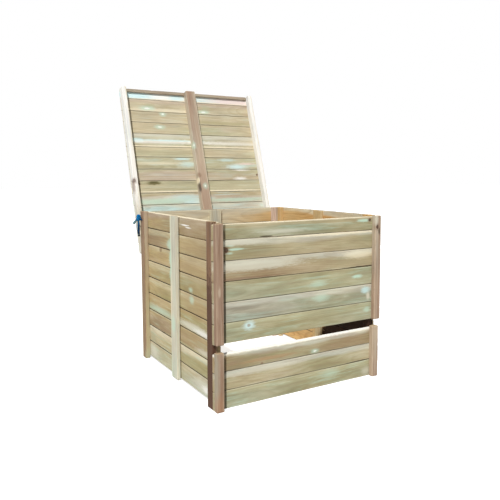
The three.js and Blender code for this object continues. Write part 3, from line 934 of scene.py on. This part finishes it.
# left wall: boards behind three uprights, seen from the left
leftWall = {
    "boardWood": {**plainWood, "Crest": 0.75},
    "boards": {    # from the ground up: two colours and the upper edge's painted highlight colour, then mint, warm, weathered
        1: ("paleOlive paleGrey sand", 0.7, 0.1, 0.5),
        2: ("warmOlive sand cream", 0.4, 0.15, 0.25),
        3: ("brownTan warmTan warmTan", 0.35, 0.3, 0.3),
        4: ("warmOlive warmTan warmTan", 0.4, 0.2, 0.25),
        5: ("warmTan warmOlive sand", 0.2, 0.2, 0.15),
        6: ("warmOlive warmTan sand", 0.3, 0.15, 0.15),
        7: ("warmTan warmTan sand", 0.1, 0.25, 0.2),
        8: ("warmTan brownTan sand", 0.15, 0.3, 0.15),
        9: ("brownTan warmTan pinkGrey", 0.2, 0.35, 0.35),
    },
    "face": (0, 28, 30),      # axis, level and depth of the marks below
    "faceMarks": {
        # the thin cream line along this board's top edge is a painted highlight
        "left_board_9": [
            ("cream", 500, 887, 600, 5, 0.9, 0.4), ("white", 405, 846, 50, 4, 0.85, 0.5),
            ("white", 365, 836, 35, 3, 0.8, 0.5)],
        "left_board_8": [("mint", 600, 724, 45, 30, 0.75, 0.6)],
        "left_board_7": [("mint", 590, 650, 30, 35, 0.8, 0.6)],
        "left_board_6": [("mint", 590, 560, 25, 30, 0.7, 0.6), ("mint", 340, 520, 22, 12, 0.6, 0.7)],
        "left_board_5": [("mint", 330, 470, 25, 20, 0.6, 0.7)],
        "left_board_4": [
            ("paleGrey", 280, 328, 250, 20, 0.8, 0.6), ("mint", 760, 326, 190, 18, 0.6, 0.8),
            ("white", 200, 322, 100, 12, 0.6, 0.6)],
        "left_board_3": [
            ("paleGrey", 180, 228, 100, 16, 0.7, 0.7), ("paleOlive", 350, 214, 350, 6, 0.5, 0.5)],
        "left_board_2": [("olive", 300, 140, 200, 30, 0.5, 0.6), ("greyGreen", 880, 140, 40, 30, 0.5, 0.6)],
        "left_board_1": [
            ("paleGrey", 200, 60, 110, 30, 0.6, 0.6), ("white", 170, 50, 40, 16, 0.7, 0.6),
            ("paleGrey", 870, 60, 50, 30, 0.7, 0.8)],
    },
    "marks": {
        "left_rear_post": [
            ("brown", 0, 963, 450, 4, 60, 800, 0.75, 0.3),
            ("greyGreen", 20, 936, 20, 30, 30, 40, 0.6, 0.6)],
        "left_middle_batten": [
            ("mint", 10, 560, 660, 30, 16, 130, 0.8, 0.5), ("mint", 10, 530, 300, 30, 28, 50, 0.6, 0.6)],
        "left_front_post": [("darkBrown", 0, 73, 250, 20, 80, 380, 0.95, 0.12)],
    },
    "postWood": {**plainWood, "Rings": 0.5, "Streaks": 0.6, "Warm colour": "rust",
                 "Weather colour": "pinkBrown"},
    "posts": {
        "left_front_post": ("brown brown brown", 0.05, 0.3, 0.1),
        "left_rear_post": ("tan pinkGrey sand", 0.1, 0.15, 0.3),
    },
    "middleWood": {**plainWood, "Rings": 0.3, "Streaks": 0.3},
    "middle": ("paleGrey paleGrey cream", 0.6, 0.1, 0.3),
    "postHole": {"fromBack": 0.024, "fromTop": 0.051, "across": 0.011, "depth": 0.022},
    "dull": ("brownTan", 270, 200, 70, 0.4, 0.5),         # on the front half of some boards
    "dullRows": (3, 5, 6, 7, 8, 9),
    "lees": [(0.4265, 0.4375)],
    "nailColumns": ((0.046, 0.100), (0.483, 0.563)),      # from the front of the bin
}


def makeLeftWall(spec):
    rows = []
    side = {**boardSpec, "shave": 0.0014, "lees": spec["lees"]}
    tint, at, *amount = spec["dull"]
    for row, looks in spec["boards"].items():
        node = "left_board_" + str(row)
        low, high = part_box(node)
        marks = marksOf(spec, node)
        if row in spec["dullRows"]:
            dull = (tint, at, 1000 * (low.z + high.z) / 2, *amount)
            marks = [*readMarks([dull], spec["face"]), *marks]
        piece = makeTimber("leftBoard" + str(row), (low, high), (1, 0),
                           woodMaterial(node, spec["boardWood"], marks), looks, spec=side)
        settle(piece, "bin", "side_board", node)
        rows.append((low.z, high.z))
        inner = high.x
    posts = woodFor(spec, "leftPosts", spec["postWood"])
    hole = spec["postHole"]
    for node, looks in spec["posts"].items():
        low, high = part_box(node)
        mouth = (low.x, high.y - hole["fromBack"], high.z - hole["fromTop"])
        holes = [(mouth, 0, hole["across"], hole["depth"])] if node == "left_rear_post" else ()
        timberFor(node, "post", (2, 0), posts, looks, holes=holes)
    middle = woodFor(spec, "leftMiddle", spec["middleWood"])
    timberFor("left_middle_batten", "pale_batten", (2, 0), middle, spec["middle"])
    heads = nailGrid(rows, spec["nailColumns"], panelCorner[1] / 1000)
    makeNails("leftWallNails", [(inner, y, z) for y, z in heads], 0, "bin")


makeLeftWall(leftWall)
print("left wall dressed")

# right and rear walls are seen from inside: honey boards in the sun
insideSpec = {
    "rows": 9, "foot": 0.008, "gap": 0.001, "boardThick": 0.018,
    "batten": {"width": 0.080, "foot": 0.006, "thick": 0.018, "belowTop": 0.001},
    "walls": {    # axes are along a board and through it
        "right": {
            "axes": (1, 0), "battenFrom": 0.483,
            "wood": {**plainWood, "Rings": 0.45, "Warm colour": "rust", "Streaks": 0.45,
                     "Weather colour": "sand"},
            "boards": [("orange honey cream", 0.0, 0.1, 0.25),
                       ("honey orange honey", 0.0, 0.25, 0.1),
                       ("honey honey orange", 0.05, 0.2, 0.2)],
            "middle": ("honey sand honey", 0.0, 0.2, 0.3),
            "nails": ((0.046, 0.100), (0.483, 0.563), (0.918, 0.972)),
            "slot": "inside_wood",
            "uprights": {
                "right_front_post": ("orange honey honey", 0.0, 0.3, 0.1),
                "right_rear_post": ("honey sand cream", 0.0, 0.1, 0.3),
            },
        },
        "rear": {
            "axes": (0, 1), "battenFrom": 0.450,
            "wood": {**plainWood, "Rings": 0.4, "Weather colour": "sand"},
            "boards": [("honey cream cream", 0.1, 0.1, 0.2),
                       ("tan honey sand", 0.2, 0.15, 0.2),
                       ("honey tan sand", 0.15, 0.1, 0.2)],
            "middle": ("paleGrey paleGrey cream", 0.6, 0.0, 0.4),
            "nails": ((0.046, 0.086), (0.450, 0.530), (0.914, 0.954)),
            "slot": "batten",
            "uprights": {
                "rear_left_batten": ("tan olive tan", 0.2, 0.2, 0.3),
                "rear_right_batten": ("pinkGrey blush pinkGrey", 0.0, 0.2, 0.3),
            },
        },
    },
    "marks": {    # painted shade: near-black low down on the inside of the right wall and its front post, where the front panel's shadow falls near the hatch
        "rightBoard1": [("black", 982, 235, 50, 12, 280, 300, 0.97, 0.1)],
        "rightBoard2": [("black", 982, 235, 147.5, 12, 280, 300, 0.97, 0.1)],
        "rightBoard3": [("black", 982, 235, 245, 12, 280, 300, 0.97, 0.1)],
        "rightBoard4": [("black", 982, 225, 285, 12, 270, 100, 0.9, 0.8)],
        "right_front_post": [("black", 954, 73, 120, 100, 100, 360, 0.97, 0.35)],
    },
}


def makeInsideWalls(spec):
    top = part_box("right_boards")[1].z
    pitch = (top - spec["foot"] + spec["gap"]) / spec["rows"]
    rows = [(spec["foot"] + k * pitch, spec["foot"] + (k + 1) * pitch - spec["gap"])
            for k in range(spec["rows"])]
    batten, woods = spec["batten"], {}
    for side, wall in spec["walls"].items():
        along, thin = wall["axes"]
        low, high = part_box(side + "_boards")
        inner, corner = high[thin] - spec["boardThick"], panelCorner[along] / 1000
        wood = woods[side] = woodFor(spec, side + "Boards", wall["wood"])

        def at(through, across, height):
            return (through, across, height) if thin == 0 else (across, through, height)

        for k, (foot, head) in enumerate(rows):
            name = side + "Board" + str(k + 1)
            piece = makeTimber(name, (at(inner, low[along], foot), at(high[thin], high[along], head)),
                               wall["axes"], wood(name), wall["boards"][(k + 1) % len(wall["boards"])],
                               spec=boardSpec)
            settle(piece, "bin", "inside_wood", side + "_boards")
        start = wall["battenFrom"] - corner
        box = (at(inner - batten["thick"], start, batten["foot"]),
               at(inner, start + batten["width"], high.z - batten["belowTop"]))
        name = side + "MiddleBatten"
        piece = makeTimber(name, box, (2, thin), wood(name), wall["middle"])
        settle(piece, "bin", "inside_wood", side + "_boards")
        heads = [at(high[thin], a, z) for a, z in nailGrid(rows, wall["nails"], corner)]
        makeNails(side + "WallNails", heads, thin, "bin")
    for side, wall in spec["walls"].items():
        for node, looks in wall["uprights"].items():
            timberFor(node, wall["slot"], (2, wall["axes"][1]), woods[side], looks)


makeInsideWalls(insideSpec)
print("right and rear walls dressed")

# upper front panel and the loose hatch below it
frontSpec = {
    "boardWood": {**plainWood, "Knot share": 0.0},
    "boards": {    # from the bottom up
        "front_board_1": ("olive greyGreen paleOlive", 0.35, 0.1, 0.2),
        "front_board_2": ("lilacGrey greyGreen paleGrey", 0.35, 0.15, 0.4),
        "front_board_3": ("paleOlive greyGreen olive", 0.35, 0.15, 0.2),
        "front_board_4": ("brownTan tan paleGrey", 0.15, 0.2, 0.2),
        "front_board_5": ("olive tan paleGrey", 0.1, 0.15, 0.2),
        "front_board_6": ("greyGreen olive tan", 0.35, 0.1, 0.25),
        "hatch_board_1": ("greyGreen olive paleOlive", 0.5, 0.1, 0.25),
        "hatch_board_2": ("olive tan paleGrey", 0.15, 0.2, 0.35),
        "hatch_board_3": ("brownTan olive paleGrey", 0.1, 0.4, 0.25),
    },
    "face": (1, 28, 30),      # axis, level and depth of the marks below
    "faceMarks": {
        # the cream lines along the top edges of front_board_6 and front_board_5 are painted highlights
        "front_board_6": [
            ("cream", 500, 876, 600, 4, 0.7, 0.5), ("paleGrey", 385, 829, 120, 10, 0.65, 0.7),
            ("nearBlack", 286, 808.5, 36, 3.5, 0.85, 0.3), ("mint", 905, 858, 45, 8, 0.85, 0.5),
            ("darkKnot", 944, 859, 9, 8)],
        "front_board_5": [
            ("mint", 115, 757, 55, 5, 0.85, 0.5), ("mint", 84, 775, 22, 4, 0.7, 0.5),
            ("mint", 84, 740, 18, 5, 0.7, 0.5), ("darkKnot", 68, 756, 11, 13),
            ("paleGrey", 150, 788, 140, 14, 0.8, 0.5), ("cream", 700, 797, 300, 6, 0.8, 0.4)],
        "front_board_4": [
            ("paleGrey", 230, 672, 260, 22, 0.75, 0.5), ("cream", 870, 680, 100, 20, 0.6, 0.6),
            ("brown", 170, 615, 200, 7, 0.6, 0.6), ("nearBlack", 880, 610.5, 100, 3.5, 0.85, 0.4)],
        "front_board_3": [("mint", 859, 560, 35, 9, 0.9, 0.6), ("mint", 600, 545, 50, 14, 0.5, 0.7)],
        "front_board_2": [
            ("mint", 620, 470, 50, 16, 0.6, 0.7), ("lilacGrey", 380, 448, 90, 16, 0.6, 0.7),
            ("iceBlue", 920, 480, 28, 18, 0.85, 0.6), ("paleGrey", 938, 446, 12, 20, 0.8, 0.6)],
        "front_board_1": [
            ("ice", 190, 385, 30, 20, 0.75, 0.6), ("dustTan", 188, 386, 8, 7, 0.8, 0.4),
            ("mint", 930, 372, 20, 14, 0.6, 0.6)],
        "hatch_board_3": [
            ("rust", 310, 207, 160, 9, 0.4, 0.6), ("paleKnot", 582, 196, 13, 6),
            ("brown", 262, 187, 8, 4, 0.7, 0.4)],
        "hatch_board_2": [
            ("nearBlack", 880, 92.5, 100, 3.5, 0.85, 0.4), ("paleGrey", 250, 160, 200, 14, 0.6, 0.6)],
        "hatch_board_1": [("mint", 684, 60, 50, 20, 0.4, 0.8), ("paleGrey", 930, 30, 30, 20, 0.5, 0.7)],
    },
    "marks": {
        # white over the hatch's top bevel is a painted highlight where light falls on it
        "hatch_board_3": [("white", 500, 37, 266, 600, 30, 8, 0.65, 0.4)],
        "front_right_batten": [
            ("darkKnot", 973, 0, 823, 8, 20, 12), ("nearBlack", 986, 0, 800, 5, 20, 18, 0.8, 0.4),
            ("paleGrey", 966, 0, 862, 10, 20, 30, 0.6, 0.5)],
        "front_left_batten": [
            ("brown", 0, 14, 600, 4, 30, 400, 0.35, 0.3), ("pinkGrey", 18, 0, 566, 6, 20, 22, 0.6, 0.5)],
        "hatch_left_batten": [
            ("dustTan", 0, 14, 150, 6, 50, 150, 0.9, 0.3), ("dustTan", 6, 0, 160, 10, 20, 140, 0.6, 0.5),
            ("brown", 30, 0, 150, 14, 20, 150, 0.55, 0.5), ("rust", 14, 0, 30, 30, 40, 50, 0.3, 0.7)],
    },
    "battenWood": {**plainWood, "Rings": 0.4, "Streaks": 0.5, "Weather colour": "pinkGrey"},
    "battens": {
        "front_left_batten": ("pinkBrown pinkBrown pinkBrown", 0.05, 0.15, 0.2),
        "front_right_batten": ("pinkBrown pinkGrey pinkBrown", 0.1, 0.15, 0.3),
        "hatch_left_batten": ("pinkBrown pinkBrown pinkGrey", 0.05, 0.25, 0.3),
        "hatch_right_batten": ("pinkBrown pinkGrey pinkBrown", 0.08, 0.2, 0.3),
    },
    "bodies": {"front": "bin", "hatch": "hatch"},
    "bevelFall": 0.016,    # how far the hatch's top edge falls to the front
    # painted shadow that the left battens cast on the boards beside them
    "lees": [(0.0400, 0.0655)],
}


def makeFront(spec):
    boards = woodFor(spec, "frontBoards", spec["boardWood"])
    flat = {**boardSpec, "joint": 0.5, "arris": 0.0028, "lees": spec["lees"]}
    for node, looks in spec["boards"].items():
        low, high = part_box(node)
        corners = None
        if node == "hatch_board_3":
            fall = spec["bevelFall"] / (high.z - low.z)
            corners = [(-0.5, -0.5), (0.5 - fall, -0.5), (0.5, 0.5), (-0.5, 0.5)]
        timberFor(node, "front_board", (0, 1), boards, looks, body=spec["bodies"][node[:5]],
                  corners=corners, spec=flat)
    battens = woodFor(spec, "frontBattens", spec["battenWood"])
    for node, looks in spec["battens"].items():
        timberFor(node, "batten", (2, 1), battens, looks, body=spec["bodies"][node[:5]])


makeFront(frontSpec)
print("front and hatch dressed")

# the lid leans back; its pieces are made flat and then tipped
lidSpec = {
    "corner": (-0.491, 0.380119, 0.889),
    "lean": 17.86,
    "boardWood": {**plainWood, "Patch colour": "iceBlue", "End colour": "white"},
    "boards": {    # 1 lies under the top rail
        1: ("ice white white", 0.5, 0.0, 0.5),
        2: ("lidTan lidTan pinkGrey", 0.1, 0.35, 0.2),
        3: ("lidTan lidTan lidTan", 0.15, 0.15, 0.3),
        4: ("lidOlive lidTan lidTan", 0.1, 0.2, 0.15),
        5: ("lidOlive lidTan paleGrey", 0.3, 0.1, 0.4),
        6: ("lidTan lidOlive lidTan", 0.1, 0.15, 0.15),
        7: ("lidOlive lidOlive lidOlive", 0.4, 0.2, 0.4),
        8: ("lidTan pinkGrey lidOlive", 0.25, 0.25, 0.3),
        9: ("lidOlive lidTan lidOlive", 0.15, 0.15, 0.2),
        10: ("paleGrey pinkGrey tan", 0.6, 0.25, 0.3),
        11: ("iceBlue paleGrey paleGrey", 0.7, 0.15, 0.4),
        12: ("paleGrey iceBlue lidOlive", 0.6, 0.1, 0.4),
        13: ("lidTan lidOlive lidTan", 0.3, 0.2, 0.3),
        14: ("lidTan lidOlive lidTan", 0.3, 0.2, 0.3),
    },
    "face": (1, 42, 30),      # axis, level and depth of the marks below
    "faceMarks": {
        # the board's own ice, white and blush patches, laid strong under the top rail where they also paint
        # light over the rail's shadow
        "lid_board_1": [
            ("ice", 100, 780, 160, 30, 0.9, 0.6), ("white", 280, 780, 80, 30, 0.7, 0.6),
            ("ice", 390, 785, 50, 30, 0.8, 0.6), ("iceBlue", 620, 780, 120, 30, 0.6, 0.6),
            ("blush", 820, 780, 200, 30, 0.7, 0.5), ("cream", 480, 763, 600, 4, 0.7, 0.5)],
        "lid_board_2": [
            ("greyGreen", 595, 722, 30, 20, 0.6, 0.7), ("greyGreen", 195, 716, 30, 12, 0.6, 0.7),
            ("cream", 300, 688, 300, 12, 0.6, 0.6), ("paleKnot", 576, 692, 22, 7),
            ("paleKnot", 170, 697, 26, 8)],
        "lid_board_3": [("olive", 700, 615, 240, 14, 0.6, 0.6), ("paleKnot", 274, 662, 12, 8)],
        "lid_board_4": [("paleKnot", 242, 569, 18, 7), ("pinkGrey", 740, 570, 60, 20, 0.5, 0.7)],
        "lid_board_5": [
            ("iceBlue", 70, 474, 50, 14, 0.85, 0.6), ("white", 250, 466, 300, 12, 0.55, 0.8),
            ("ice", 300, 476, 200, 6, 0.7, 0.7), ("white", 740, 466, 260, 12, 0.4, 0.8),
            ("cream", 500, 436, 600, 6, 0.85, 0.5)],
        "lid_board_7": [
            ("iceBlue", 365, 350, 50, 8, 0.8, 0.6), ("iceBlue", 400, 312, 60, 18, 0.6, 0.7),
            ("cream", 200, 318, 160, 10, 0.5, 0.7), ("iceBlue", 700, 345, 60, 10, 0.6, 0.7),
            ("ice", 770, 296, 70, 16, 0.75, 0.8), ("blush", 850, 318, 60, 8, 0.6, 0.7)],
        "lid_board_8": [
            ("white", 785, 212, 40, 10, 0.7, 0.8), ("white", 800, 274, 50, 6, 0.6, 0.8),
            ("darkKnot", 924, 238, 6, 6)],
        "lid_board_9": [
            ("mossOlive", 150, 186, 46, 12, 0.9, 0.45), ("nearBlack", 148, 189, 30, 6, 0.45, 0.5),
            ("darkKnot", 45, 184, 10, 10), ("cream", 480, 128, 600, 5, 0.9, 0.5)],
        "lid_board_10": [
            ("iceBlue", 360, 75, 100, 30, 0.6, 0.7), ("mint", 180, 62, 200, 18, 0.7, 0.6),
            ("ice", 400, 52, 50, 12, 0.6, 0.7), ("mint", 720, 62, 200, 14, 0.7, 0.6)],
    },
    "marks": {
        "lid_middle_batten": [
            ("paleGrey", 446, 20, 300, 4, 40, 600, 0.4, 0.3),
            ("pinkBrown", 480, 0, 50, 60, 30, 240, 0.55, 0.6),
            ("cream", 513, 0, 300, 5, 30, 600, 0.85, 0.4), ("paleKnot", 446, 0, 434, 8, 20, 12),
            ("paleKnot", 486, 0, 150, 8, 20, 10), ("nearBlack", 449, 0, 148, 6, 30, 46, 0.75, 0.4),
            ("cream", 446, 12, 190, 6, 30, 20, 0.85, 0.5), ("brown", 455, 0, 225, 12, 30, 16, 0.6, 0.5)],
        "lid_left_rim": [
            ("darkKnot", 6, 0, 190, 10, 30, 12, 0.6), ("brown", 1, 0, 150, 6, 50, 35, 0.6, 0.4),
            ("tan", 15, 20, -100, 50, 60, 160, 0.6, 0.6)],
    },
    "rimWood": {**plainWood, "Knot share": 0.0, "Rings": 0.1, "Streaks": 0.1, "Weather colour": "white",
                "Warm colour": "cream"},
    "rims": ("white white cream", 0.3, 0.0, 0.8),
    "middleWood": {**plainWood, "Rings": 0.3, "Streaks": 0.35, "Weather colour": "pinkGrey"},
    "middle": ("pinkGrey pinkBrown pinkGrey", 0.1, 0.1, 0.4),
    "railWood": {**plainWood, "Rings": 0.3, "Streaks": 0.35, "Weather colour": "pinkBrown"},
    "rails": ("dustTan dustTan dustTan", 0.05, 0.3, 0.3),
    "rimHole": {"below": 0.060, "fromFace": 0.021, "across": 0.011, "depth": 0.022},
    "nailColumns": ((0.0, 0.030), (0.446, 0.513), (0.931, 0.961)),
}


def makeLid(spec):
    tip = Matrix.Translation(spec["corner"]) @ Matrix.Rotation(math.radians(-spec["lean"]), 4, "X")
    back = np.array(tip.inverted())

    def flatBox(node):
        points = meshPoints(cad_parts[node].data) @ back[:3, :3].T + back[:3, 3]
        return points.min(0), points.max(0)

    def lidTimber(node, slot, axes, wood, looks, **rest):
        timberFor(node, slot, axes, wood, looks, box=flatBox(node), body="lid", place=tip, **rest)

    boards = woodFor(spec, "lidBoards", spec["boardWood"])
    flat = {**boardSpec, "joint": 0.3, "arris": 0.0016, "crown": 0.0006}
    rows = []
    for row, looks in spec["boards"].items():
        node = "lid_board_" + str(row)
        lidTimber(node, "lid_board", (0, 1), boards, looks, spec=flat)
        low, high = flatBox(node)
        rows.append((low[2], high[2]))
        outer = high[1]
    rims = woodFor(spec, "lidRims", spec["rimWood"])
    hole = spec["rimHole"]
    for node, depth in (("lid_left_rim", hole["depth"]), ("lid_right_rim", -hole["depth"])):
        low, high = flatBox(node)
        mouth = (low[0] if depth > 0 else high[0], hole["fromFace"], -hole["below"])
        lidTimber(node, "lid_rim", (2, 1), rims, spec["rims"], holes=[(mouth, 0, hole["across"], depth)])
    middle = woodFor(spec, "lidMiddle", spec["middleWood"])
    lidTimber("lid_middle_batten", "lid_batten", (2, 1), middle, spec["middle"])
    rails = woodFor(spec, "lidRails", spec["railWood"])
    for node in ("lid_top_rail_left", "lid_top_rail_right", "lid_bottom_rail_left", "lid_bottom_rail_right"):
        lidTimber(node, "lid_rail", (0, 1), rails, spec["rails"])
    heads = nailGrid(rows, spec["nailColumns"])
    makeNails("lidNails", [(x, outer, z) for x, z in heads], 1, "lid", place=tip)


makeLid(lidSpec)
print("lid dressed:", timberCount["timbers"], "timbers,", timberCount["faces"], "faces")
